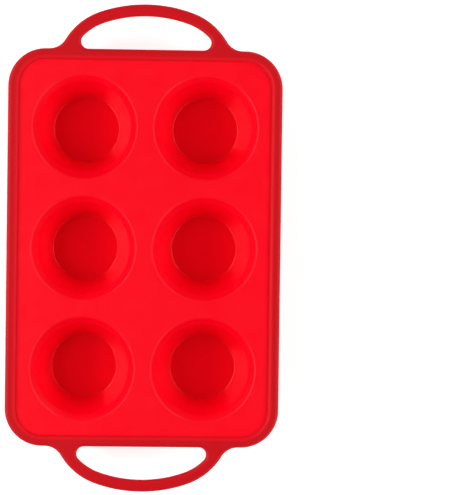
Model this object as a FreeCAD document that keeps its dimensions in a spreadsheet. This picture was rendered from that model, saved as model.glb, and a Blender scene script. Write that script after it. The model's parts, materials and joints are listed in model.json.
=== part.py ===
import FreeCAD, Part
import Sketcher
import math
import os

# Six-cup silicone muffin pan with a stiffened rim and a loop handle at each end. Millimetres.
# +Z is up, the cup floors stand on z = 0, the origin is under the middle of the pan, and Y runs from
# handle to handle. The front handle is at -Y.

doc = FreeCAD.newDocument("muffin_pan")

# Driving dimensions: name, value, what it is.
driving_dimensions = [
    ("cups_across", 2, "cups along X"),
    ("cups_along", 3, "cups along Y"),
    ("cup_mouth", 70, "inside diameter where the wall meets the deck's top, before rounding"),
    ("cup_floor", 44.6, "inside diameter where the wall meets the floor, before rounding"),
    ("cup_depth", 30, "from the deck's top to the floor's top"),
    ("flare_width", 4.45, "how far the flared mouth stands out from the top of the tapered wall"),
    ("flare_depth", 5, "height of the flared mouth"),
    ("cup_gap", 10.5, "deck left between two neighbouring mouths"),
    ("cup_wall", 1.6, "thickness of the tapered wall"),
    ("floor_thickness", 2, "thickness of a cup's floor"),
    ("floor_round", 1, "inside round between a cup's floor and its wall"),
    ("flare_round", 1, "inside round between the wall and the flared mouth"),
    ("mouth_round", 0.8, "round of a cup's mouth"),
    ("under_round", 2, "round between a cup's outside and the deck's underside"),
    ("deck_thickness", 1.8, "thickness of the flat deck"),
    ("side_land", 8.35, "deck between a mouth and the rim on the long sides"),
    ("end_land", 9.1, "deck between a mouth and the rim at the ends"),
    ("rim_thickness", 6, "height of the rim band, half above and half below the deck's middle"),
    ("rim_corner", 25, "outside corner radius of the rim"),
    ("edge_flat", 0.8, "upright flat left between the rounded edges of the rim"),
    ("wire_diameter", 2.5, "steel wire in the rim and in the handles"),
    ("wire_cover", 2.2, "silicone between the ring wire and the rim's outside"),
    ("bead_gap", 0.5, "silicone between the ring wire and the tray's bead"),
    ("bead_width", 0.8, "width of the bead that locks the tray into the rim"),
    ("bead_height", 2.8, "height of that bead"),
    ("rim_lip", 1.4, "width of the rim's lip over the deck, from the bead to the rim's inner edge"),
    ("weld_stop", 0.45, "how far short of the ring wire's centre a handle wire ends"),
    ("handle_reach", 30, "from the rim's end to the handle's outermost point"),
    ("handle_bar", 8, "width of the handle's bar"),
    ("crown_angle", 19.6, "half of the angle that the flat crown of the handle turns, in degrees"),
    ("flank_angle", 59.2, "slope of the handle's flank where it meets its root, in degrees"),
    ("root_round", 12.3, "hollow round between the handle's flank and the rim"),
    ("root_land", 1.85, "straight rim between its corner and the handle's root"),
    ("opening_corner", 5, "corner radius of the hand opening beside the rim"),
]
sheet = doc.addObject("Spreadsheet::Sheet", "sizes")
for row, (alias, value, meaning) in enumerate(driving_dimensions, start=1):
    sheet.set("A%d" % row, alias)
    sheet.set("B%d" % row, str(value))
    sheet.set("C%d" % row, meaning)
    sheet.setAlias("B%d" % row, alias)
doc.recompute()

# Derived dimensions, as formulas of the sheet's cells. Across the rim band, from its outside, lie the
# silicone over the wire, the wire, a gap, the tray's bead and the lip over the deck.
wire_inset = "(sizes.wire_cover + sizes.wire_diameter / 2)"
tray_inset = "(sizes.wire_cover + sizes.wire_diameter + sizes.bead_gap)"
band_width = f"({tray_inset} + sizes.bead_width + sizes.rim_lip)"

pitch = "(sizes.cup_mouth + sizes.cup_gap)"
first_cup_x = f"((sizes.cups_across - 1) * {pitch} / 2)"
first_cup_y = f"((sizes.cups_along - 1) * {pitch} / 2)"
half_width = f"({first_cup_x} + sizes.cup_mouth / 2 + sizes.side_land + {band_width})"
half_length = f"({first_cup_y} + sizes.cup_mouth / 2 + sizes.end_land + {band_width})"

deck_top = "(sizes.floor_thickness + sizes.cup_depth)"
deck_under = f"({deck_top} - sizes.deck_thickness)"
deck_middle = f"({deck_top} - sizes.deck_thickness / 2)"
edge_round = "((sizes.rim_thickness - sizes.edge_flat) / 2)"

# A cup's wall and its flared mouth meet at the neck. Each leans outwards by its own amount for each
# millimetre of height, and its thickness measured level is larger than its true thickness. Their outsides
# meet a little lower than their insides.
neck = "(sizes.cup_mouth / 2 - sizes.flare_width)"
neck_level = f"({deck_top} - sizes.flare_depth)"
wall_lean = f"(({neck} - sizes.cup_floor / 2) / (sizes.cup_depth - sizes.flare_depth))"
wall_level = f"(sizes.cup_wall * sqrt(1 + {wall_lean} ^ 2))"
flare_lean = "(sizes.flare_width / sizes.flare_depth)"
flare_level = f"(sizes.cup_wall * sqrt(1 + {flare_lean} ^ 2))"
neck_drop = f"(({flare_level} - {wall_level}) / ({flare_lean} - {wall_lean}))"

# The handle's outline rises from its hollow root round, through a shoulder arc, to a flat crown arc.
# Both arcs turn by given angles, so their two radii follow from the run and the rise between the top of
# the root round and the middle of the crown.
root_x = f"({half_width} - sizes.rim_corner - sizes.root_land)"
arch_run = f"({root_x} - sizes.root_round * sin(sizes.flank_angle))"
arch_rise = "(sizes.handle_reach - sizes.root_round * (1 - cos(sizes.flank_angle)))"
crown_run = "sin(sizes.crown_angle)"
crown_rise = "(1 - cos(sizes.crown_angle))"
shoulder_run = "(sin(sizes.flank_angle) - sin(sizes.crown_angle))"
shoulder_rise = "(cos(sizes.crown_angle) - cos(sizes.flank_angle))"
arch_share = f"({crown_run} * {shoulder_rise} - {crown_rise} * {shoulder_run})"
crown_radius = f"(({arch_run} * {shoulder_rise} - {arch_rise} * {shoulder_run}) / {arch_share})"
shoulder_radius = f"(({arch_rise} * {crown_run} - {arch_run} * {crown_rise}) / {arch_share})"
crown_y = f"({half_length} + sizes.handle_reach - {crown_radius})"
shoulder_x = f"(({crown_radius} - {shoulder_radius}) * sin(sizes.crown_angle))"
shoulder_y = f"({crown_y} + ({crown_radius} - {shoulder_radius}) * cos(sizes.crown_angle))"


def number(formula):
    """The value of a formula of the sheet's cells."""
    return float(doc.getObject("origin_mark").evalExpression(formula))


def point(x, y):
    """A sketch point from two formulas."""
    return FreeCAD.Vector(number(x), number(y), 0)


def origin_plane(body, role):
    """One of the body's own origin planes, such as XY_Plane."""
    return [feature for feature in body.Origin.OriginFeatures if feature.Role == role][0]


def new_sketch(body, name, role, offset=("0", "0", "0")):
    """A sketch on an origin plane, moved by three formulas in the plane's own directions."""
    sketch = body.newObject("Sketcher::SketchObject", name)
    sketch.AttachmentSupport = [(origin_plane(body, role), "")]
    sketch.MapMode = "FlatFace"
    for letter, formula in zip("xyz", offset):
        sketch.setExpression("AttachmentOffset.Base." + letter, formula)
    return sketch


def dimension(sketch, kind, elements, formula):
    """A driving dimension that takes its value from a formula."""
    index = sketch.addConstraint(Sketcher.Constraint(kind, *elements, number(formula)))
    sketch.renameConstraint(index, "%s_%d" % (kind.lower(), index))
    sketch.setExpression("Constraints.%s_%d" % (kind.lower(), index), formula)


def hold(sketch, geometry, end, x=None, y=None):
    """Places a point of the sketch from the origin. The formula "0" puts it on the axis itself."""
    for kind, axis, formula in (("DistanceX", -2, x), ("DistanceY", -1, y)):
        if formula == "0":
            sketch.addConstraint(Sketcher.Constraint("PointOnObject", geometry, end, axis))
        elif formula is not None:
            dimension(sketch, kind, (-1, 1, geometry, end), formula)


def add_line(sketch, first, last):
    """A line, with the numbers of its first and last ends."""
    return sketch.addGeometry(Part.LineSegment(first, last), False), 1, 2


def add_arc(sketch, centre, first, last):
    """The shorter arc from first to last, with the numbers of those ends. Sketches store arcs
    anticlockwise, so an arc that is drawn clockwise starts at its stored end."""
    circle = Part.Circle(centre, FreeCAD.Vector(0, 0, 1), (first - centre).Length)
    first_angle = math.atan2(first.y - centre.y, first.x - centre.x)
    last_angle = math.atan2(last.y - centre.y, last.x - centre.x)
    sweep = (last_angle - first_angle) % (2 * math.pi)
    if sweep < math.pi:
        arc = Part.ArcOfCircle(circle, first_angle, first_angle + sweep)
        return sketch.addGeometry(arc, False), 1, 2
    arc = Part.ArcOfCircle(circle, last_angle, last_angle + 2 * math.pi - sweep)
    return sketch.addGeometry(arc, False), 2, 1


def join_tangent(sketch, chain, closed):
    """Joins each element of a chain to the next one, end to end and tangent."""
    following = chain[1:] + chain[:1] if closed else chain[1:]
    for (one, _, leave), (other, arrive, _) in zip(chain, following):
        sketch.addConstraint(Sketcher.Constraint("Tangent", one, leave, other, arrive))


def draw_outline(sketch, corners):
    """A closed outline of straight lines between corners (x, y, round), all formulas. A corner with a
    round gets a tangent arc, and its sharp point stays as a construction point that is dimensioned."""
    count = len(corners)
    sharp = [point(x, y) for x, y, _ in corners]
    arcs = []
    arrive = []
    leave = []
    for index, (_, _, rounding) in enumerate(corners):
        corner = sharp[index]
        if rounding is None:
            arrive.append(corner)
            leave.append(corner)
            arcs.append(None)
            continue
        back = (sharp[index - 1] - corner).normalize()
        ahead = (sharp[(index + 1) % count] - corner).normalize()
        half_angle = back.getAngle(ahead) / 2
        radius = number(rounding)
        arrive.append(corner + back * (radius / math.tan(half_angle)))
        leave.append(corner + ahead * (radius / math.tan(half_angle)))
        centre = corner + (back + ahead).normalize() * (radius / math.sin(half_angle))
        arcs.append(add_arc(sketch, centre, arrive[-1], leave[-1]))
    lines = [add_line(sketch, leave[index], arrive[(index + 1) % count]) for index in range(count)]
    for index, (x, y, rounding) in enumerate(corners):
        before = lines[index - 1]
        after = lines[index]
        if rounding is None:
            sketch.addConstraint(Sketcher.Constraint("Coincident", before[0], 2, after[0], 1))
            hold(sketch, after[0], 1, x, y)
            continue
        join_tangent(sketch, [before, arcs[index], after], closed=False)
        dimension(sketch, "Radius", (arcs[index][0],), rounding)
        mark = sketch.addGeometry(Part.Point(sharp[index]), True)
        sketch.addConstraint(Sketcher.Constraint("PointOnObject", mark, 1, before[0]))
        sketch.addConstraint(Sketcher.Constraint("PointOnObject", mark, 1, after[0]))
        hold(sketch, mark, 1, x, y)


def draw_rounded_rectangle(sketch, inset):
    """The rim's plan, drawn in from its outside by an inset."""
    x = f"({half_width} - {inset})"
    y = f"({half_length} - {inset})"
    corner = f"sizes.rim_corner - {inset}"
    draw_outline(sketch, [
        (x, f"-{y}", corner),
        (x, y, corner),
        (f"-{x}", y, corner),
        (f"-{x}", f"-{y}", corner),
    ])


def pad(body, name, sketch, length):
    feature = body.newObject("PartDesign::Pad", name)
    feature.Profile = sketch
    feature.setExpression("Length", length)
    doc.recompute()
    return feature


def revolve(body, kind, name, sketch):
    """A Revolution or a Groove, a full turn about the sketch's upright axis."""
    feature = body.newObject("PartDesign::" + kind, name)
    feature.Profile = sketch
    feature.ReferenceAxis = (sketch, ["V_Axis"])
    feature.Angle = 360
    doc.recompute()
    return feature


def pocket(body, name, sketch):
    """A cut right through, both ways from the sketch."""
    before = body.Shape.Volume
    feature = body.newObject("PartDesign::Pocket", name)
    feature.Profile = sketch
    feature.Type = "ThroughAll"
    feature.Midplane = True
    doc.recompute()
    if body.Shape.Volume > before - 1:
        raise RuntimeError(name + " removes nothing")
    return feature


def new_body(label):
    body = doc.addObject("PartDesign::Body", label)
    body.Label = label
    return body


def make_cup_tray():
    """The deck and the cups in one moulding, with a bead round the edge that the rim is moulded over."""
    body = new_body("cup_tray")
    deck_outline = new_sketch(body, "deck_outline", "XY_Plane", ("0", "0", deck_under))
    draw_rounded_rectangle(deck_outline, tray_inset)
    pad(body, "deck", deck_outline, "sizes.deck_thickness")

    bead_under = f"({deck_middle} - sizes.bead_height / 2)"
    bead_outline = new_sketch(body, "bead_outline", "XY_Plane", ("0", "0", bead_under))
    draw_rounded_rectangle(bead_outline, tray_inset)
    draw_rounded_rectangle(bead_outline, f"({tray_inset} + sizes.bead_width)")
    pad(body, "bead", bead_outline, "sizes.bead_height")

    # One cup at the front left corner of the grid: its outside, then the hollow.
    cup_place = (f"-{first_cup_x}", "0", first_cup_y)
    outside = new_sketch(body, "cup_outside_profile", "XZ_Plane", cup_place)
    outside_foot = f"(sizes.cup_floor / 2 - {wall_lean} * sizes.floor_thickness + {wall_level})"
    outside_neck = f"({neck} - {wall_lean} * {neck_drop} + {wall_level})"
    outside_top = f"(sizes.cup_mouth / 2 - {flare_lean} * sizes.deck_thickness + {flare_level})"
    draw_outline(outside, [
        ("0", "0", None),
        (outside_foot, "0", "sizes.floor_round + sizes.cup_wall"),
        (outside_neck, f"({neck_level} - {neck_drop})", "sizes.flare_round + sizes.cup_wall"),
        (outside_top, deck_under, "sizes.under_round"),
        (f"({outside_top} + sizes.under_round)", deck_under, None),
        (f"({outside_top} + sizes.under_round)", deck_middle, None),
        ("0", deck_middle, None),
    ])
    cup_outside = revolve(body, "Revolution", "cup_outside", outside)

    inside = new_sketch(body, "cup_inside_profile", "XZ_Plane", cup_place)
    draw_outline(inside, [
        ("0", "sizes.floor_thickness", None),
        ("sizes.cup_floor / 2", "sizes.floor_thickness", "sizes.floor_round"),
        (neck, neck_level, "sizes.flare_round"),
        ("sizes.cup_mouth / 2", deck_top, "sizes.mouth_round"),
        ("(sizes.cup_mouth / 2 + sizes.mouth_round)", deck_top, None),
        ("(sizes.cup_mouth / 2 + sizes.mouth_round)", f"({deck_top} + sizes.deck_thickness)", None),
        ("0", f"({deck_top} + sizes.deck_thickness)", None),
    ])
    before = body.Shape.Volume
    cup_inside = revolve(body, "Groove", "cup_inside", inside)
    if body.Shape.Volume > before - 1:
        raise RuntimeError("cup_inside removes nothing")

    # The grid of cups: rows along X, repeated along Y.
    grid = body.newObject("PartDesign::MultiTransform", "cup_grid")
    grid.Originals = [cup_outside, cup_inside]
    steps = []
    for name, axis, count in (("cup_row", "H_Axis", "cups_across"), ("cup_rows", "V_Axis", "cups_along")):
        step = body.newObject("PartDesign::LinearPattern", name)
        step.Direction = (deck_outline, [axis])
        step.Mode = "Spacing"
        step.setExpression("Offset", pitch)
        step.setExpression("Occurrences", "sizes." + count)
        steps.append(step)
    grid.Transformations = steps
    body.Tip = grid
    doc.recompute()
    return body


def draw_rim_plan(sketch):
    """The outside of the rim with both handles: twice a long side, a corner, a handle and a corner."""
    chain = []
    corner_x = f"({half_width} - sizes.rim_corner)"
    corner_y = f"({half_length} - sizes.rim_corner)"
    root_y = f"({half_length} + sizes.root_round)"
    for turn in (1, -1):
        def at(x, y):
            return point(x, y) * turn

        side = add_line(sketch, at(half_width, f"-{corner_y}"), at(half_width, corner_y))
        chain.append(side)
        sketch.addConstraint(Sketcher.Constraint("Vertical", side[0]))
        hold(sketch, side[0], 1, x=f"{turn} * {half_width}")

        crown_centre = at("0", crown_y)
        crown_end = {}
        near_side = []
        far_side = []
        for hand, half in ((1, near_side), (-1, far_side)):
            corner_centre = at(f"{hand} * {corner_x}", corner_y)
            root_centre = at(f"{hand} * {root_x}", root_y)
            shoulder_centre = at(f"{hand} * {shoulder_x}", shoulder_y)
            to_root = (root_centre - shoulder_centre).normalize()
            flank = shoulder_centre + to_root * number(shoulder_radius)
            to_shoulder = (shoulder_centre - crown_centre).normalize()
            crown_end[hand] = crown_centre + to_shoulder * number(crown_radius)
            points = [
                at(f"{hand} * {half_width}", corner_y),
                at(f"{hand} * {corner_x}", half_length),
                at(f"{hand} * {root_x}", half_length),
                flank,
                crown_end[hand],
            ]
            centres = [corner_centre, None, root_centre, shoulder_centre]
            for first, last, centre in zip(points, points[1:], centres):
                ends = (first, last) if hand == 1 else (last, first)
                half.append(add_line(sketch, *ends) if centre is None else add_arc(sketch, centre, *ends))
            corner, land, root, shoulder = half
            sketch.addConstraint(Sketcher.Constraint("Horizontal", land[0]))
            root_end = land[2] if hand == 1 else land[1]
            hold(sketch, land[0], root_end, f"{turn * hand} * {root_x}", f"{turn} * {half_length}")
            dimension(sketch, "Radius", (corner[0],), "sizes.rim_corner")
            dimension(sketch, "Radius", (root[0],), "sizes.root_round")
            dimension(sketch, "Radius", (shoulder[0],), shoulder_radius)
        crown = add_arc(sketch, crown_centre, crown_end[1], crown_end[-1])
        dimension(sketch, "Radius", (crown[0],), crown_radius)
        hold(sketch, crown[0], 3, "0", f"{turn} * {crown_y}")
        chain += near_side + [crown] + far_side[::-1]
    join_tangent(sketch, chain, closed=True)


def draw_hand_openings(sketch):
    """Both hand openings: the handle's shoulder and crown arcs, drawn in by the bar's width, closed by
    a straight side in line with the rim's end."""
    opening_crown = f"({crown_radius} - sizes.handle_bar)"
    opening_shoulder = f"({shoulder_radius} - sizes.handle_bar)"
    corner_y = f"({half_length} + sizes.opening_corner)"
    corner_reach = f"({opening_shoulder} - sizes.opening_corner)"
    corner_x = f"({shoulder_x} + sqrt({corner_reach} ^ 2 - ({corner_y} - {shoulder_y}) ^ 2))"
    for turn in (1, -1):
        crown_centre = point("0", crown_y) * turn
        ends = {}
        arcs = {}
        for hand in (1, -1):
            corner_centre = point(f"{hand} * {corner_x}", corner_y) * turn
            shoulder_centre = point(f"{hand} * {shoulder_x}", shoulder_y) * turn
            to_corner = (corner_centre - shoulder_centre).normalize()
            to_shoulder = (shoulder_centre - crown_centre).normalize()
            ends[hand] = [
                point(f"{hand} * {corner_x}", half_length) * turn,
                shoulder_centre + to_corner * number(opening_shoulder),
                crown_centre + to_shoulder * number(opening_crown),
            ]
            low, middle, high = ends[hand]
            if hand == 1:
                corner = add_arc(sketch, corner_centre, low, middle)
                shoulder = add_arc(sketch, shoulder_centre, middle, high)
            else:
                corner = add_arc(sketch, corner_centre, middle, low)
                shoulder = add_arc(sketch, shoulder_centre, high, middle)
            arcs[hand] = (corner, shoulder)
            dimension(sketch, "Radius", (corner[0],), "sizes.opening_corner")
            dimension(sketch, "Radius", (shoulder[0],), opening_shoulder)
            hold(sketch, shoulder[0], 3, x=f"{turn * hand} * {shoulder_x}")
        side = add_line(sketch, ends[-1][0], ends[1][0])
        crown = add_arc(sketch, crown_centre, ends[1][2], ends[-1][2])
        sketch.addConstraint(Sketcher.Constraint("Horizontal", side[0]))
        hold(sketch, side[0], 1, y=f"{turn} * {half_length}")
        dimension(sketch, "Radius", (crown[0],), opening_crown)
        hold(sketch, crown[0], 3, "0", f"{turn} * {crown_y}")
        right_corner, right_shoulder = arcs[1]
        left_corner, left_shoulder = arcs[-1]
        chain = [side, right_corner, right_shoulder, crown, left_shoulder, left_corner]
        join_tangent(sketch, chain, closed=True)


def make_rim_blank():
    """The rim band and both handles as one rounded moulding, before the tray and the wires take their
    place in it."""
    body = new_body("rim_blank")
    under = f"({deck_middle} - sizes.rim_thickness / 2)"
    plan = new_sketch(body, "rim_plan", "XY_Plane", ("0", "0", under))
    draw_rim_plan(plan)
    pad(body, "rim", plan, "sizes.rim_thickness")
    window = new_sketch(body, "window_outline", "XY_Plane", ("0", "0", deck_middle))
    draw_rounded_rectangle(window, band_width)
    pocket(body, "window", window)
    openings = new_sketch(body, "hand_opening_outline", "XY_Plane", ("0", "0", deck_middle))
    draw_hand_openings(openings)
    cut = pocket(body, "hand_openings", openings)

    # Every edge of the top and of the underside is rounded.
    levels = (number(under), number(f"({under} + sizes.rim_thickness)"))
    level_edges = []
    for index, edge in enumerate(cut.Shape.Edges, start=1):
        box = edge.BoundBox
        if box.ZLength < 0.01 and min(abs(box.ZMin - level) for level in levels) < 0.01:
            level_edges.append("Edge%d" % index)
    rounding = body.newObject("PartDesign::Fillet", "rounded_edges")
    rounding.Base = (cut, level_edges)
    rounding.setExpression("Radius", edge_round)
    doc.recompute()
    return body


def sweep_wire(body, path, profile_role, centre, mirror_role):
    """A round wire swept along half of its path and mirrored. The path starts square to the profile's
    plane, at the centre given by two formulas in that plane."""
    section = new_sketch(body, body.Label + "_section", profile_role)
    circle = Part.Circle(point(*centre), FreeCAD.Vector(0, 0, 1), number("sizes.wire_diameter / 2"))
    geometry = section.addGeometry(circle, False)
    dimension(section, "Radius", (geometry,), "sizes.wire_diameter / 2")
    hold(section, geometry, 3, *centre)
    pipe = body.newObject("PartDesign::AdditivePipe", body.Label + "_half")
    pipe.Profile = section
    pipe.Spine = (path, ["Edge%d" % (index + 1) for index in range(path.GeometryCount)])
    doc.recompute()
    mirrored = body.newObject("PartDesign::Mirrored", body.Label + "_mirrored")
    mirrored.Originals = [pipe]
    mirrored.MirrorPlane = (origin_plane(body, mirror_role), [""])
    body.Tip = mirrored
    doc.recompute()
    return body


def make_rim_wire():
    """The ring of wire that follows the rim, butt welded into one."""
    body = new_body("rim_wire")
    path = new_sketch(body, "rim_wire_path", "XY_Plane", ("0", "0", deck_middle))
    x = f"({half_width} - {wire_inset})"
    y = f"({half_length} - {wire_inset})"
    bend = f"(sizes.rim_corner - {wire_inset})"
    bend_x = f"({x} - {bend})"
    bend_y = f"({y} - {bend})"
    right = add_line(path, point(x, "0"), point(x, bend_y))
    right_bend = add_arc(path, point(bend_x, bend_y), point(x, bend_y), point(bend_x, y))
    end = add_line(path, point(bend_x, y), point(f"-{bend_x}", y))
    left_bend = add_arc(path, point(f"-{bend_x}", bend_y), point(f"-{bend_x}", y), point(f"-{x}", bend_y))
    left = add_line(path, point(f"-{x}", bend_y), point(f"-{x}", "0"))
    join_tangent(path, [right, right_bend, end, left_bend, left], closed=False)
    for line, direction in ((right, "Vertical"), (end, "Horizontal"), (left, "Vertical")):
        path.addConstraint(Sketcher.Constraint(direction, line[0]))
    hold(path, right[0], 1, x, "0")
    hold(path, end[0], 1, y=y)
    hold(path, left[0], 2, f"-{x}", "0")
    dimension(path, "Radius", (right_bend[0],), bend)
    dimension(path, "Radius", (left_bend[0],), bend)
    return sweep_wire(body, path, "XZ_Plane", (x, deck_middle), "XZ_Plane")


def make_handle_wire(label, turn, ring):
    """A bent wire in the middle of the handle's bar. Its ends are coped to the ring wire's outside and
    welded there. turn is 1 for the rear handle and -1 for the front one."""
    body = new_body(label + "_uncut")
    path = new_sketch(body, label + "_path", "XY_Plane", ("0", "0", deck_middle))
    wire_crown = f"({crown_radius} - sizes.handle_bar / 2)"
    wire_shoulder = f"({shoulder_radius} - sizes.handle_bar / 2)"
    top_y = f"({crown_y} + {wire_crown})"
    end_y = f"({half_length} - {wire_inset} + sizes.weld_stop)"
    end_x = f"({shoulder_x} + sqrt({wire_shoulder} ^ 2 - ({end_y} - {shoulder_y}) ^ 2))"
    top = point("0", f"{turn} * {top_y}")
    crown_centre = point("0", f"{turn} * {crown_y}")
    shoulder_centre = point(shoulder_x, f"{turn} * {shoulder_y}")
    to_shoulder = (shoulder_centre - crown_centre).normalize()
    meeting = crown_centre + to_shoulder * number(wire_crown)
    crown = add_arc(path, crown_centre, top, meeting)
    shoulder = add_arc(path, shoulder_centre, meeting, point(end_x, f"{turn} * {end_y}"))
    join_tangent(path, [crown, shoulder], closed=False)
    hold(path, crown[0], crown[1], x="0")
    hold(path, crown[0], 3, "0", f"{turn} * {crown_y}")
    hold(path, shoulder[0], 3, x=shoulder_x)
    hold(path, shoulder[0], shoulder[2], y=f"{turn} * {end_y}")
    dimension(path, "Radius", (crown[0],), wire_crown)
    dimension(path, "Radius", (shoulder[0],), wire_shoulder)
    sweep_wire(body, path, "YZ_Plane", (f"{turn} * {top_y}", deck_middle), "YZ_Plane")

    wire = doc.addObject("Part::Cut", label)
    wire.Label = label
    wire.Base = body
    wire.Tool = ring
    doc.recompute()
    return wire


def make_rim_and_handles(inserts):
    """The rim moulded over the tray's edge and the welded wires: it leaves exactly their room."""
    blank = make_rim_blank()
    joined = doc.addObject("Part::MultiFuse", "moulded_over")
    joined.Shapes = inserts
    rim = doc.addObject("Part::Cut", "rim_and_handles")
    rim.Label = "rim_and_handles"
    rim.Base = blank
    rim.Tool = joined
    doc.recompute()
    return rim


# A bare point that formulas are read through.
doc.addObject("Part::Vertex", "origin_mark")
doc.recompute()

cup_tray = make_cup_tray()
rim_wire = make_rim_wire()
handle_wire_front = make_handle_wire("handle_wire_front", -1, rim_wire)
handle_wire_rear = make_handle_wire("handle_wire_rear", 1, rim_wire)
rim_and_handles = make_rim_and_handles([cup_tray, rim_wire, handle_wire_front, handle_wire_rear])
pieces = [cup_tray, rim_and_handles, rim_wire, handle_wire_front, handle_wire_rear]

doc.recompute()
for item in doc.Objects:
    if "Invalid" in item.State or "Error" in item.State:
        raise RuntimeError(item.Label + " failed to build: " + ", ".join(item.State))
for piece in pieces:
    if piece.Shape.isNull() or not piece.Shape.isValid() or len(piece.Shape.Solids) != 1:
        raise RuntimeError(piece.Label + " isn't one valid solid")

os.makedirs("parts", exist_ok=True)
for piece in pieces:
    piece.Shape.exportStep("parts/%s.step" % piece.Label)
    box = piece.Shape.optimalBoundingBox()
    print("%-18s %8.1f x %6.1f x %5.1f mm, %8.0f mm3" % (
        piece.Label, box.XLength, box.YLength, box.ZLength, piece.Shape.Volume))
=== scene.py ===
import json
import math
import bmesh
import bpy
import numpy as np
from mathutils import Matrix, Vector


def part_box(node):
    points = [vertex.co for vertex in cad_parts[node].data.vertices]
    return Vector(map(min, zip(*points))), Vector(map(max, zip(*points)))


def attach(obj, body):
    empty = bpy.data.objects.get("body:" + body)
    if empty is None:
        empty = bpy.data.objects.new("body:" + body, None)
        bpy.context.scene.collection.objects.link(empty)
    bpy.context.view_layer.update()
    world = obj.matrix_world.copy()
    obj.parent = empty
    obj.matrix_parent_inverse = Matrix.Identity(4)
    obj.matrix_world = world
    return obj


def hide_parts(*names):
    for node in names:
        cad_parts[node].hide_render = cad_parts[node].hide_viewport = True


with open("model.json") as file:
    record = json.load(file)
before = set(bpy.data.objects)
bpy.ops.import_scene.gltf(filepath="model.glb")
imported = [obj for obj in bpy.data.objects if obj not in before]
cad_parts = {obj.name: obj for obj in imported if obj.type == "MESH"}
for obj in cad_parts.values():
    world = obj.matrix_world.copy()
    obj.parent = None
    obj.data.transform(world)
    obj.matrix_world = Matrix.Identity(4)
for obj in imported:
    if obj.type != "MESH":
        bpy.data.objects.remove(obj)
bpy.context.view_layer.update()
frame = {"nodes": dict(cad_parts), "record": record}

# Six-cup silicone muffin pan: a bright red tray, and a deeper red rim with two loop handles moulded over
# its edge and over steel wires. Lengths are in millimetres until a mesh is made.
mm = 0.001
rimLow, rimHigh = np.array(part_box("rim_and_handles")) / mm
trayHigh = np.array(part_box("cup_tray")[1]) / mm
middle = (rimLow[2] + rimHigh[2]) / 2           # height of the middle of the deck and of the rim
mounts = {mount["name"]: mount for mount in frame["record"]["mounts"]}
cupPitch = 2 * abs(mounts["cup_floors"]["pos_m"][0]) / mm
traySize = trayHigh[:2]                         # half of the tray's width and length
trayInset = rimHigh[0] - trayHigh[0]            # from the rim's outside to the tray's edge
rimSize = traySize + trayInset                  # half of the rim's width and length, handles left out

tiny = 1e-6             # numbers this close count as equal
slack = 0.01            # a stretch may be this share of a spacing too long for its steps
mergeReach = 0.002      # points this close are made one
sharpAngle = 50         # an edge that turns by more degrees than this stays sharp


def unit(vector):
    # A vector divided by its length.
    return vector / np.linalg.norm(vector)


def divide(points, spacing):
    # Each straight stretch longer than the spacing gets evenly spaced points between its two ends: as many
    # steps as its length holds spacings, rounded up.
    steps = np.diff(points, axis=0)
    counts = np.maximum(1, np.ceil(np.linalg.norm(steps, axis=1) / spacing - slack)).astype(int)
    owner = np.repeat(np.arange(len(counts)), counts)
    place = np.arange(counts.sum()) - np.repeat(np.cumsum(counts) - counts, counts)
    share = (place / counts[owner])[:, None]
    return np.vstack([points[owner] + steps[owner] * share, points[-1:]])


def roundedLine(corners, spacing, turnStep=8):
    # A line through corners (x, y, round). A round is the arc centre + radius * (cos, sin) between its two
    # tangent points, which lie radius / tan(half the corner's angle) from the corner. Its points are at
    # most turnStep degrees apart.
    points = [np.array(corners[0][:2], float)]
    for before, corner, after in zip(corners, corners[1:], corners[2:]):
        sharp = np.array(corner[:2], float)
        radius = corner[2]
        if radius == 0:
            points.append(sharp)
            continue
        back = unit(np.array(before[:2]) - sharp)
        ahead = unit(np.array(after[:2]) - sharp)
        half = math.acos(back @ ahead) / 2
        centre = sharp + unit(back + ahead) * radius / math.sin(half)
        start = sharp + back * radius / math.tan(half) - centre
        turn = math.copysign(math.pi - 2 * half, back[1] * ahead[0] - back[0] * ahead[1])
        first = math.atan2(start[1], start[0])
        count = int(math.degrees(abs(turn)) / turnStep) + 2
        angles = first + turn * np.linspace(0, 1, count)
        points += list(centre + radius * np.stack([np.cos(angles), np.sin(angles)], axis=1))
    points.append(np.array(corners[-1][:2], float))
    return divide(np.array(points), spacing)


def gridFaces(rows, columns):
    # Four-sided faces of a grid of points whose last column joins the first one.
    index = np.arange(rows * columns).reshape(rows, columns)
    after = np.roll(index, -1, axis=1)
    return np.stack([index[:-1], index[1:], after[1:], after[:-1]], axis=-1).reshape(-1, 4)


def wayOut(points, size, corner):
    # How far points lie outside a rounded rectangle of a half size and a corner radius: past a side or past
    # a corner's arc. It is the length of what lies beyond the corner's centre, less the radius, and inside
    # the rectangle it is negative.
    beyond = np.abs(points[:, :2]) - (size - corner)
    return np.linalg.norm(np.maximum(beyond, 0), axis=1) + np.minimum(beyond.max(axis=1), 0) - corner


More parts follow.
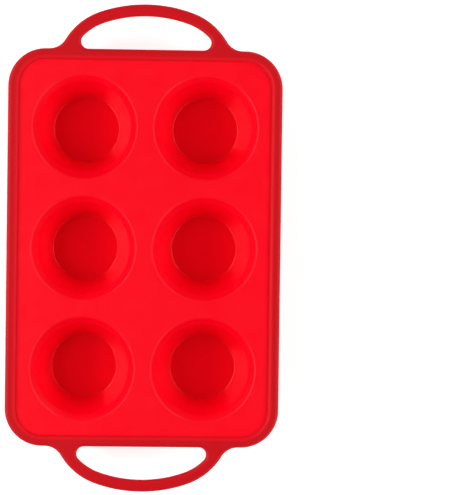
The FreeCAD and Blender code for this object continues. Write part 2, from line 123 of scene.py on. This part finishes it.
def buildPiece(name, patches, capped=False):
    # Joins patches (points, faces) into one closed mesh: equal points are merged, and all faces are turned
    # outwards. Where capped is set, the open loops above the middle are filled with triangles between them,
    # and so are those below.
    starts = np.cumsum([0] + [len(patch[0]) for patch in patches])
    points = np.vstack([patch[0] for patch in patches]) * mm
    faces = np.vstack([patch[1] + start for patch, start in zip(patches, starts)])
    mesh = bpy.data.meshes.new(name)
    mesh.from_pydata(points.tolist(), [], faces.tolist())
    work = bmesh.new()
    work.from_mesh(mesh)
    bmesh.ops.remove_doubles(work, verts=work.verts, dist=mergeReach * mm)
    if capped:
        for side in (1, -1):
            loops = [edge for edge in work.edges
                     if edge.is_boundary and (edge.verts[0].co.z / mm - middle) * side > 0]
            bmesh.ops.triangle_fill(work, edges=loops, use_beauty=True)
    bmesh.ops.recalc_face_normals(work, faces=work.faces)
    openEdges = sum(1 for edge in work.edges if not edge.is_manifold)
    work.to_mesh(mesh)
    work.free()
    mesh.shade_smooth()
    mesh.set_sharp_from_angle(angle=math.radians(sharpAngle))
    piece = bpy.data.objects.new(name, mesh)
    bpy.context.scene.collection.objects.link(piece)
    print(f"{name}: {len(mesh.polygons)} faces, {openEdges} open edges")
    return piece


# The tray

tray = dict(
    mouthRadius=35.0,       # where the flared mouth meets the deck's top, before rounding
    flareWidth=4.45,
    flareDepth=5.0,
    floorRadius=22.3,       # where the wall meets the floor, before rounding
    cupWall=1.6,
    cupFloor=2.0,
    floorRound=1.0,
    flareRound=1.0,
    mouthRound=0.8,
    underRound=2.0,
    deck=1.8,
    beadWidth=0.8,          # the bead that locks the tray into the rim
    beadHeight=2.8,
    deckRings=7,
    turnStep=2.5,           # about how many degrees lie between two lines down a cup
    insideSpacing=2.6,      # the longest step along a cup's inside
    outsideSpacing=3.6,     # and along its outside, which is made more coarsely
    outsideTurn=12,         # the most degrees between two points of a round there
    ripple=0.12,            # how far the soft deck bulges and sags
    rippleEdge=18.0,        # how far in from the deck's edge it is whole
    rippleWaves=(19.0, 27.0, 33.0, 23.0),       # lengths that the waves take for one radian
    rippleStarts=(1.1, -0.4),       # where the first pair starts, in radians
    rippleSecond=0.6,       # the slanting pair's share of the first pair
)


def deckReach(cup, angles, low, high, outside, corner):
    # Distance from a cup's axis to the edge of its share of the deck, in each direction. It is the nearest
    # side of the rectangle low to high, and at the tray's corner it is the far root of the ray's crossing
    # with the corner's circle.
    way = np.stack([np.cos(angles), np.sin(angles)], axis=1)
    sides = np.where(way > 0, high - cup, low - cup)
    reach = np.min(np.abs(sides) / np.maximum(np.abs(way), tiny), axis=1)
    hand = np.sign(cup)
    arcCentre = hand * (outside - corner)
    along = way @ (cup - arcCentre)
    inside = corner ** 2 - np.sum((cup - arcCentre) ** 2)
    arcReach = np.sqrt(np.maximum(along ** 2 + inside, 0)) - along
    hit = cup + way * reach[:, None]
    rounded = np.all((hit - arcCentre) * hand > tiny, axis=1) & (hand[1] != 0)
    return np.where(rounded, arcReach, reach)


def cupAngles(cup, low, high, outside, corner):
    # Directions from a cup's axis: evenly spaced between the corners of its share of the deck, so that
    # two neighbours meet in the same points of their common side.
    hand = np.sign(cup)
    marks = []
    for x in (low[0], high[0]):
        for y in (low[1], high[1]):
            if hand[1] != 0 and abs(x) == outside[0] and abs(y) == outside[1]:
                marks += [(x, y - hand[1] * corner), (x - hand[0] * corner, y)]
            else:
                marks.append((x, y))
    turns = np.sort([math.degrees(math.atan2(y - cup[1], x - cup[0])) for x, y in marks])
    spans = np.diff(np.append(turns, turns[0] + 360))
    counts = np.round(spans / tray["turnStep"]).astype(int)
    owner = np.repeat(np.arange(len(counts)), counts)
    place = np.arange(counts.sum()) - np.repeat(np.cumsum(counts) - counts, counts)
    return np.radians(turns[owner] + spans[owner] * place / counts[owner])


def ripple(points, outside, corner):
    # A gentle unevenness: one wave along the pan times one across it, plus a weaker pair on the slant. It
    # fades with the third power of the height to the cups' floors, and evenly to the deck's edge.
    x, y, z = points.T
    across, along, slant, cross = tray["rippleWaves"]
    startAcross, startAlong = tray["rippleStarts"]
    square = np.sin(x / across + startAcross) * np.sin(y / along + startAlong)
    wave = square + tray["rippleSecond"] * np.sin((x + y) / slant) * np.cos((x - y) / cross)
    fade = np.clip(-wayOut(points, outside, corner) / tray["rippleEdge"], 0, 1) * (z / middle) ** 3
    return np.stack([x, y, z + tray["ripple"] * wave * fade], axis=1)


def cupSheet(cup, angles, reach, profile):
    # One side of a cup and its share of the deck. The profile (radius, height) is turned about the cup's
    # axis, and from the profile's end the deck runs straight to its edge in equal steps.
    radius = np.repeat(profile[:, :1], len(angles), axis=1)
    height = np.repeat(profile[:, 1:], len(angles), axis=1)
    share = np.linspace(0, 1, tray["deckRings"] + 1)[1:, None]
    radius = np.vstack([radius, radius[-1] + (reach - radius[-1]) * share])
    height = np.vstack([height, np.repeat(height[-1:], len(share), axis=0)])
    points = np.stack([cup[0] + radius * np.cos(angles), cup[1] + radius * np.sin(angles), height], axis=-1)
    return points.reshape(-1, 3), gridFaces(*radius.shape)


def beadSheet(edge, outside, corner):
    # The bead round the deck: its section carried along the deck's edge, square to it. The edge's outward
    # direction is that of the sides, and at a corner it points away from the corner's centre.
    order = np.argsort(np.arctan2(edge[:, 1], edge[:, 0]))
    edge = edge[order]
    away = edge - np.clip(edge, corner - outside, outside - corner)
    away /= np.linalg.norm(away, axis=1)[:, None]
    half = tray["beadHeight"] / 2
    width = tray["beadWidth"]
    thin = tray["deck"] / 2
    section = np.array([(0, thin), (0, half), (width, half), (width, -half), (0, -half), (0, -thin)])
    plan = edge + away * section[:, :1, None]
    height = np.repeat(middle + section[:, 1:], len(edge), axis=1)
    points = np.concatenate([plan, height[:, :, None]], axis=2)
    return points.reshape(-1, 3), gridFaces(len(section), len(edge))


def makeTray():
    # Six cups, each with its share of the deck, inside and outside, and the bead round them all.
    deckTop = middle + tray["deck"] / 2
    deckUnder = middle - tray["deck"] / 2
    # The wall and the flare above it lean outwards by these shares of their height, and measured level
    # they are thicker than the wall's true thickness. Their outsides meet a little below their insides.
    neck = tray["mouthRadius"] - tray["flareWidth"]
    neckLevel = deckTop - tray["flareDepth"]
    lean = (neck - tray["floorRadius"]) / (neckLevel - tray["cupFloor"])
    flareLean = tray["flareWidth"] / tray["flareDepth"]
    wall = tray["cupWall"] * math.sqrt(1 + lean ** 2)
    flareWall = tray["cupWall"] * math.sqrt(1 + flareLean ** 2)
    drop = (flareWall - wall) / (flareLean - lean)
    foot = tray["floorRadius"] - lean * tray["cupFloor"] + wall
    shoulder = tray["mouthRadius"] - flareLean * tray["deck"] + flareWall
    inside = roundedLine([
        (0, tray["cupFloor"], 0),
        (tray["floorRadius"], tray["cupFloor"], tray["floorRound"]),
        (neck, neckLevel, tray["flareRound"]),
        (tray["mouthRadius"], deckTop, tray["mouthRound"]),
        (tray["mouthRadius"] + tray["mouthRound"], deckTop, 0),
    ], tray["insideSpacing"])
    outside = roundedLine([
        (0, 0, 0),
        (foot, 0, tray["floorRound"] + tray["cupWall"]),
        (neck - lean * drop + wall, neckLevel - drop, tray["flareRound"] + tray["cupWall"]),
        (shoulder, deckUnder, tray["underRound"]),
        (shoulder + tray["underRound"], deckUnder, 0),
    ], tray["outsideSpacing"], tray["outsideTurn"])

    deckSize = traySize - tray["beadWidth"]
    corner = rim["cornerRadius"] - trayInset - tray["beadWidth"]
    patches = []
    edges = []
    for column in (-1, 1):
        for row in (-1, 0, 1):
            cup = np.array([column / 2, row]) * cupPitch
            low = np.array([min(column, 0) * deckSize[0], (row - 0.5) * cupPitch])
            high = np.array([max(column, 0) * deckSize[0], (row + 0.5) * cupPitch])
            if row < 0:
                low[1] = -deckSize[1]
            if row > 0:
                high[1] = deckSize[1]
            angles = cupAngles(cup, low, high, deckSize, corner)
            reach = deckReach(cup, angles, low, high, deckSize, corner)
            for profile in (inside, outside):
                points, faces = cupSheet(cup, angles, reach, profile)
                patches.append((ripple(points, deckSize, corner), faces))
            border = cup + np.stack([np.cos(angles), np.sin(angles)], axis=1) * reach[:, None]
            onArc = np.all(np.abs(border) - (deckSize - corner) > -tiny, axis=1)
            onSide = np.any(np.abs(np.abs(border) - deckSize) < tiny, axis=1)
            edges.append(border[onArc | onSide])
    # Neighbouring cups share points of the edge, which are kept once.
    edge = np.unique(np.round(np.vstack(edges), 6), axis=0)
    patches.append(beadSheet(edge, deckSize, corner))
    return buildPiece("cup_tray_silicone", patches)


# The rim and the handles

rim = dict(
    cornerRadius=25.0,
    bandWidth=7.4,
    edgeRound=2.6,
    flashReach=0.1,         # the thin line that the mould's halves leave round the outside
    flashHeight=0.12,
    crownAngle=19.6,        # half of the turn of the handle's flat crown, in degrees
    flankAngle=59.2,        # slope of its flank at the root
    rootRound=12.3,         # the hollow round where the handle leaves the rim
    rootLand=1.85,          # the straight stretch between that round and the rim's corner
    handleBar=8.0,
    openingCorner=5.0,
    paintedGlowFade=0.75,           # width over which the painted glow on the thin lip gives way to the thick rim's colour
    capStrip=0.35,          # a narrow flat strip between the rounded edge and the filled top
    slotMargin=0.01,        # the lip's points stop this far above the slot
    spacing=1.1,            # the rough length of a step along an outline
    sectionSpacing=1.0,     # the longest straight step along a section
    sectionTurn=9,          # and the most degrees between two points of its rounds
)


def arc(centre, radius, first, last, hollow=False):
    # Points centre + radius * (cos, sin) and the outward directions there, which on a hollow arc point
    # towards its centre. Angles in degrees.
    count = max(2, int(math.radians(abs(last - first)) * radius / rim["spacing"]) + 1)
    angles = np.radians(np.linspace(first, last, count))
    way = np.stack([np.cos(angles), np.sin(angles)], axis=1)
    return np.hstack([np.array(centre) + radius * way, -way if hollow else way])


def straight(start, end, outward):
    # Evenly spaced points between two ends, the ends left out, all with one outward direction.
    count = int(math.dist(start, end) / rim["spacing"]) + 2
    share = np.linspace(0, 1, count)[1:-1, None]
    points = np.array(start) + (np.array(end) - np.array(start)) * share
    return np.hstack([points, np.repeat([outward], len(points), axis=0)])


def mirrored(half):
    # A half outline from the right hand to the middle, followed by its mirror image in x. A point that
    # lies in the middle isn't repeated.
    image = half[::-1] * (-1, 1, -1, 1)
    if abs(half[-1, 0]) < tiny:
        image = image[1:]
    return np.vstack([half, image])


def handleArcs():
    # The two arcs of a handle turn by given angles, so their radii follow from the run and the rise
    # between the top of the root's round and the middle of the crown: two linear equations.
    crown, flank = math.radians(rim["crownAngle"]), math.radians(rim["flankAngle"])
    rootX = rimSize[0] - rim["cornerRadius"] - rim["rootLand"]
    run = rootX - rim["rootRound"] * math.sin(flank)
    rise = rimHigh[1] - rimSize[1] - rim["rootRound"] * (1 - math.cos(flank))
    turns = [
        [math.sin(crown), math.sin(flank) - math.sin(crown)],
        [1 - math.cos(crown), math.cos(crown) - math.cos(flank)],
    ]
    crownRadius, shoulderRadius = np.linalg.solve(turns, [run, rise])
    crownCentre = np.array([0, rimHigh[1] - crownRadius])
    toShoulder = np.array([math.sin(crown), math.cos(crown)])
    shoulderCentre = crownCentre + toShoulder * (crownRadius - shoulderRadius)
    return rootX, crownCentre, crownRadius, shoulderCentre, shoulderRadius


def rimOutline():
    # The outside of the rim with its handles, anticlockwise: a quarter of lines and arcs, mirrored in x,
    # and the rear half turned by half a turn for the front half.
    width, length = rimSize
    corner = rim["cornerRadius"]
    rootX, crownCentre, crownRadius, shoulderCentre, shoulderRadius = handleArcs()
    crownTop, flankTop = 90 - rim["crownAngle"], 90 - rim["flankAngle"]
    quarter = np.vstack([
        straight((width, 0), (width, length - corner), (1, 0)),
        arc((width - corner, length - corner), corner, 0, 90),
        arc((rootX, length + rim["rootRound"]), rim["rootRound"], -90, -90 - rim["flankAngle"], hollow=True),
        arc(shoulderCentre, shoulderRadius, flankTop, crownTop)[1:],
        arc(crownCentre, crownRadius, crownTop, 90)[1:],
    ])
    half = mirrored(quarter)
    return np.vstack([half, -half])


def openingOutline():
    # A hand opening: the handle's arcs drawn in by the bar's width, closed by rounded corners along the
    # rim's end. Its directions point away from the opening's middle, into the silicone.
    bar, corner = rim["handleBar"], rim["openingCorner"]
    crownCentre, crownRadius, shoulderCentre, shoulderRadius = handleArcs()[1:]
    level = rimSize[1] + corner - shoulderCentre[1]
    inward = shoulderRadius - bar - corner
    cornerCentre = shoulderCentre + (math.sqrt(inward ** 2 - level ** 2), level)
    turned = math.degrees(math.atan2(level, cornerCentre[0] - shoulderCentre[0]))
    crownTop = 90 - rim["crownAngle"]
    half = np.vstack([
        straight((0, rimSize[1]), (cornerCentre[0], rimSize[1]), (0, -1)),
        arc(cornerCentre, corner, -90, turned),
        arc(shoulderCentre, shoulderRadius - bar, turned, crownTop)[1:],
        arc(crownCentre, crownRadius - bar, crownTop, 90)[1:],
    ])
    return mirrored(half)


def windowOutline():
    # The rim's inner edge, a rounded rectangle, with directions into the silicone.
    width, length = rimSize - rim["bandWidth"]
    corner = rim["cornerRadius"] - rim["bandWidth"]
    quarter = np.vstack([
        straight((width, 0), (width, length - corner), (1, 0)),
        arc((width - corner, length - corner), corner, 0, 90),
        straight((width - corner, length), (0, length), (0, 1)),
    ])
    half = mirrored(quarter)
    return np.vstack([half, -half])


def carried(outline, section, inwards):
    # A section (depth into the silicone, height above the middle) carried along an outline.
    plan = outline[:, :2] + inwards * outline[:, 2:] * section[:, :1, None]
    height = np.repeat(middle + section[:, 1:], len(outline), axis=1)
    points = np.concatenate([plan, height[:, :, None]], axis=2)
    return points.reshape(-1, 3), gridFaces(len(section), len(outline))


def markPaintedGlow(mesh):
    # An attribute for the painted glow on the lip, which is thin over the tray's bead: 1 as far as the tray
    # reaches under it, and falling evenly to 0 over the fade's width.
    places = np.empty(len(mesh.vertices) * 3)
    mesh.vertices.foreach_get("co", places)
    size = rimSize - rim["bandWidth"]
    depth = wayOut(places.reshape(-1, 3) / mm, size, rim["cornerRadius"] - rim["bandWidth"])
    reach = rim["bandWidth"] - trayInset + rim["paintedGlowFade"]
    share = np.clip((reach - depth) / rim["paintedGlowFade"], 0, 1)
    mesh.attributes.new("paintedGlowMask", "FLOAT", "POINT").data.foreach_set("value", share)


def makeRim():
    # Round the outside runs a section with rounded edges and the mould's line, round each hand opening the
    # same without the line, and round the window one that is cut by the slot for the deck and its bead.
    half = (rimHigh[2] - rimLow[2]) / 2
    rounding = rim["edgeRound"]
    capEdge = rounding + rim["capStrip"]
    steps = (rim["sectionSpacing"], rim["sectionTurn"])
    flash = rim["flashReach"]
    rise = rim["flashHeight"]
    upper = roundedLine([(capEdge, half, 0), (flash, half, rounding - flash), (flash, rise, 0)], *steps)
    outer = np.vstack([upper, [(0, 0)], (upper * (1, -1))[::-1]])
    plain = roundedLine([
        (capEdge, half, 0),
        (0, half, rounding),
        (0, -half, rounding),
        (capEdge, -half, 0),
    ], *steps)
    deck = tray["deck"] / 2
    bead = tray["beadHeight"] / 2
    lipEnd = rim["bandWidth"] - trayInset - tray["beadWidth"]
    beadEnd = lipEnd + tray["beadWidth"]
    # The slot opens where the rounded edge is as high as the deck's top.
    cut = rounding - math.sqrt(rounding ** 2 - (deck - half + rounding) ** 2)
    slotSection = [(cut, deck), (lipEnd, deck), (lipEnd, bead), (beadEnd, bead)]
    lip = np.vstack([plain[plain[:, 1] > deck + rim["slotMargin"]], slotSection])
    cSection = np.vstack([lip, (lip * (1, -1))[::-1]])
    opening = openingOutline()
    patches = [
        carried(rimOutline(), outer, -1),
        carried(windowOutline(), cSection, 1),
        carried(opening, plain, 1),
        carried(-opening, plain, 1),
    ]
    piece = buildPiece("rim_and_handles_silicone", patches, capped=True)
    markPaintedGlow(piece.data)
    return piece


# Materials

noiseRange = (0.3, 0.7)     # a noise's values lie mostly between these


def linearColour(hexText):
    # An sRGB hex value as linear red, green, blue and a full alpha.
    parts = np.array([int(hexText[place:place + 2], 16) for place in (1, 3, 5)]) / 255
    linear = np.where(parts <= 0.04045, parts / 12.92, ((parts + 0.055) / 1.055) ** 2.4)
    return (*linear, 1.0)


def addNode(tree, kind, settings=None, links=None):
    # A new node. A setting is a socket's value where the node has a socket of that name or number, and
    # otherwise one of the node's own, and each link runs from an output to the named socket. A colour
    # mix has its two colours in sockets 6 and 7 and gives out socket 2.
    node = tree.nodes.new(kind)
    for name, value in (settings or {}).items():
        if isinstance(name, int) or name in node.inputs:
            node.inputs[name].default_value = value
        else:
            setattr(node, name, value)
    for name, source in (links or {}).items():
        tree.links.new(source, node.inputs[name])
    return node


def mouldedSilicone(name, look):
    # Platinum-cured silicone rubber, compression moulded in a blasted steel mould: an even, deep colour
    # with a soft satin gloss, a fine matt grain and slightly glossier patches where it lay on the mould.
    material = bpy.data.materials.new(name)
    material.use_nodes = True
    tree = material.node_tree
    shader = tree.nodes["Principled BSDF"]
    place = addNode(tree, "ShaderNodeTexCoord").outputs["Object"]

    cloud = addNode(tree, "ShaderNodeTexNoise", {"Scale": 1 / (look["cloudSize"] * mm), "Detail": 2.0},
                    {"Vector": place})
    tint = addNode(tree, "ShaderNodeMix", {"data_type": "RGBA", 6: linearColour(look["colour"]),
                                           7: linearColour(look["colourDeep"])},
                   {0: cloud.outputs[0]})
    patch = addNode(tree, "ShaderNodeTexNoise", {"Scale": 1 / (look["patchSize"] * mm), "Detail": 3.0},
                    {"Vector": place})
    height = addNode(tree, "ShaderNodeSeparateXYZ", None, {0: place}).outputs["Z"]
    blasted = addNode(tree, "ShaderNodeMapRange", {
        "From Min": look["polishedBelow"] * mm,
        "From Max": (look["polishedBelow"] + look["polishFade"]) * mm,
        "To Min": look["roughPolished"],
        "To Max": look["roughBlasted"],
    }, {"Value": height})
    spread = addNode(tree, "ShaderNodeMapRange", {
        "From Min": noiseRange[0],
        "From Max": noiseRange[1],
        "To Min": 1 - look["roughSpread"],
        "To Max": 1 + look["roughSpread"],
    }, {"Value": patch.outputs[0]})
    gloss = addNode(tree, "ShaderNodeMath", {"operation": "MULTIPLY"},
                    {0: blasted.outputs[0], 1: spread.outputs[0]})
    grain = addNode(tree, "ShaderNodeTexNoise", {"Scale": 1 / (look["grainSize"] * mm), "Detail": 1.0},
                    {"Vector": place})
    wave = addNode(tree, "ShaderNodeTexNoise", {"Scale": 1 / (look["waveSize"] * mm), "Detail": 1.0},
                   {"Vector": place})
    softBump = addNode(tree, "ShaderNodeBump", {"Strength": 1.0, "Distance": look["waveDepth"] * mm},
                       {"Height": wave.outputs[0]})
    bump = addNode(tree, "ShaderNodeBump", {"Strength": 1.0, "Distance": look["grainDepth"] * mm},
                   {"Height": grain.outputs[0], "Normal": softBump.outputs[0]})
    # Where the look has one, a lighter colour is painted on the thin lip: a painted glow of light shining
    # through it.
    if "colourPaintedGlow" in look:
        thin = addNode(tree, "ShaderNodeAttribute", {"attribute_name": "paintedGlowMask"})
        tint = addNode(tree, "ShaderNodeMix", {"data_type": "RGBA", 7: linearColour(look["colourPaintedGlow"])},
                       {0: thin.outputs["Fac"], 6: tint.outputs[2]})
    tree.links.new(tint.outputs[2], shader.inputs["Base Color"])
    tree.links.new(gloss.outputs[0], shader.inputs["Roughness"])
    tree.links.new(bump.outputs[0], shader.inputs["Normal"])
    shader.inputs["IOR"].default_value = look["ior"]
    shader.inputs["Specular IOR Level"].default_value = look["specular"]
    shader.inputs["Subsurface Weight"].default_value = look["glow"]
    shader.inputs["Subsurface Radius"].default_value = look["glowSpread"]
    shader.inputs["Subsurface Scale"].default_value = look["glowDepth"] * mm
    return material


traySilicone = dict(
    colour="#fb011d",
    colourDeep="#f6011b",
    cloudSize=60,
    patchSize=9,
    polishedBelow=30.6,     # the cups come from polished cores, the deck from a blasted plate
    polishFade=1.0,
    roughPolished=0.2,
    roughBlasted=0.4,
    roughSpread=0.08,
    grainSize=1.1,          # really about 0.1 mm, which is too fine to show, so it is drawn coarser
    grainDepth=0.006,
    waveSize=16,
    waveDepth=0.03,
    ior=1.34,
    specular=0.5,
    glow=0.1,               # a little light goes in and comes out again
    glowDepth=1.5,
    glowSpread=(1.0, 0.25, 0.2),        # red goes furthest
)
rimSilicone = dict(
    traySilicone,
    colour="#cd0414",
    colourDeep="#c40312",
    colourPaintedGlow="#db0517",   # painted glow: a lighter colour where the lip is thin, for light from the bright tray shining through it
    polishedBelow=0,
    roughBlasted=0.56,      # a coarsely blasted mould, whose pits swallow part of the gloss
    specular=0.34,
)


wireLook = dict(
    colour="#c4c6c8",
    colourDeep="#aeb0b3",
    lineSize=0.4,
    roughLow=0.22,
    roughHigh=0.36,
)


def drawnSteel(name, look):
    # Stainless spring wire, cold drawn: bright, with a fine unevenness that the die leaves.
    material = bpy.data.materials.new(name)
    material.use_nodes = True
    tree = material.node_tree
    shader = tree.nodes["Principled BSDF"]
    place = addNode(tree, "ShaderNodeTexCoord").outputs["Object"]
    lines = addNode(tree, "ShaderNodeTexNoise", {"Scale": 1 / (look["lineSize"] * mm), "Detail": 2.0},
                    {"Vector": place})
    tint = addNode(tree, "ShaderNodeMix", {"data_type": "RGBA", 6: linearColour(look["colour"]),
                                           7: linearColour(look["colourDeep"])}, {0: lines.outputs[0]})
    gloss = addNode(tree, "ShaderNodeMapRange", {"To Min": look["roughLow"], "To Max": look["roughHigh"]},
                    {"Value": lines.outputs[0]})
    tree.links.new(tint.outputs[2], shader.inputs["Base Color"])
    tree.links.new(gloss.outputs[0], shader.inputs["Roughness"])
    shader.inputs["Metallic"].default_value = 1.0
    return material


tableLook = dict(
    colour="#f8f8f7",
    colourDeep="#f4f4f3",
    cloudSize=500,
    rough=0.7,
    glow=0.5,               # light that comes up through the table
)


def paleTable(name, look):
    # A white acrylic light table: matt, and lit from below, so that it shows almost no shadow.
    material = bpy.data.materials.new(name)
    material.use_nodes = True
    tree = material.node_tree
    shader = tree.nodes["Principled BSDF"]
    place = addNode(tree, "ShaderNodeTexCoord").outputs["Object"]
    cloud = addNode(tree, "ShaderNodeTexNoise", {"Scale": 1 / (look["cloudSize"] * mm), "Detail": 1.0},
                    {"Vector": place})
    tint = addNode(tree, "ShaderNodeMix", {"data_type": "RGBA", 6: linearColour(look["colour"]),
                                           7: linearColour(look["colourDeep"])}, {0: cloud.outputs[0]})
    tree.links.new(tint.outputs[2], shader.inputs["Base Color"])
    shader.inputs["Roughness"].default_value = look["rough"]
    shader.inputs["Emission Color"].default_value = (1, 1, 1, 1)
    shader.inputs["Emission Strength"].default_value = look["glow"]
    return material


trayPiece = makeTray()
trayPiece.data.materials.append(mouldedSilicone("satin_silicone_red", traySilicone))
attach(trayPiece, "root")
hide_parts("cup_tray")

rimPiece = makeRim()
rimPiece.data.materials.append(mouldedSilicone("satin_silicone_deep_red", rimSilicone))
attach(rimPiece, "root")
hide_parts("rim_and_handles")

wireSteel = drawnSteel("drawn_stainless_wire", wireLook)
for node in ("rim_wire", "handle_wire_front", "handle_wire_rear"):
    for slot in frame["nodes"][node].material_slots:
        slot.material = wireSteel
print("wires: drawn steel on three nodes")


# Table, light and camera

studio = dict(
    tableSize=30000,
    zenith=0.03,            # brightness of the room overhead
    horizon=0.4,            # and at table height
    ceilingEdge=0.85,       # the height of a direction from which on the ceiling is evenly dark
    panelReach=700,         # from the pan's middle to each panel
    panelFoot=250,          # from the table to a panel's lower edge
    leftSize=(1030, 1300),  # height and length: the cups mirror the top of this taller panel
    leftPower=15.0,
    rightSize=(500, 2200),
    rightPower=11.6,
)


def softPanel(name, hand, size, power):
    # A large upright soft box at one side of the pan, facing it. Its middle lies half its height above its
    # foot.
    lamp = bpy.data.lights.new(name, "AREA")
    lamp.shape = "RECTANGLE"
    lamp.size = size[0] * mm
    lamp.size_y = size[1] * mm
    lamp.energy = power
    light = bpy.data.objects.new(name, lamp)
    level = studio["panelFoot"] + size[0] / 2
    light.location = (hand * studio["panelReach"] * mm, 0, level * mm)
    light.rotation_euler = (0, hand * math.pi / 2, 0)
    bpy.context.scene.collection.objects.link(light)


def roomLight():
    # A dark ceiling and pale walls: the brightness falls evenly with the height of a direction, from the
    # horizon's to the zenith's.
    world = bpy.data.worlds.new("studio")
    world.use_nodes = True
    tree = world.node_tree
    place = addNode(tree, "ShaderNodeTexCoord").outputs["Generated"]
    height = addNode(tree, "ShaderNodeSeparateXYZ", None, {0: place}).outputs["Z"]
    level = addNode(tree, "ShaderNodeMapRange", {
        "From Max": studio["ceilingEdge"],
        "To Min": studio["horizon"],
        "To Max": studio["zenith"],
    }, {"Value": height})
    tree.nodes["Background"].inputs["Color"].default_value = (1, 1, 1, 1)
    tree.links.new(level.outputs[0], tree.nodes["Background"].inputs["Strength"])
    bpy.context.scene.world = world


def makeStudio():
    # The table, the room's light and a soft panel on each side.
    half = studio["tableSize"] / 2 * mm
    mesh = bpy.data.meshes.new("table")
    mesh.from_pydata([(-half, -half, 0), (half, -half, 0), (half, half, 0), (-half, half, 0)], [],
                     [(0, 1, 2, 3)])
    table = bpy.data.objects.new("table", mesh)
    mesh.materials.append(paleTable("white_acrylic", tableLook))
    bpy.context.scene.collection.objects.link(table)
    roomLight()
    softPanel("soft_panel_left", -1, studio["leftSize"], studio["leftPower"])
    softPanel("soft_panel_right", 1, studio["rightSize"], studio["rightPower"])
    bpy.context.scene.view_settings.view_transform = "Standard"


camera = dict(
    place=(27.8, 20.2, 1113.3),
    turn=(-1.010, -1.794, 0.779),       # degrees, looking almost straight down
    lens=118.3,
    sensor=36,
)


def makeCamera():
    # A long lens high above the pan.
    lens = bpy.data.cameras.new("camera")
    lens.lens = camera["lens"]
    lens.sensor_width = camera["sensor"]
    eye = bpy.data.objects.new("camera", lens)
    eye.location = np.array(camera["place"]) * mm
    eye.rotation_euler = np.radians(camera["turn"])
    bpy.context.scene.collection.objects.link(eye)
    bpy.context.scene.camera = eye


makeStudio()
makeCamera()
print("table, lights and camera are in place")
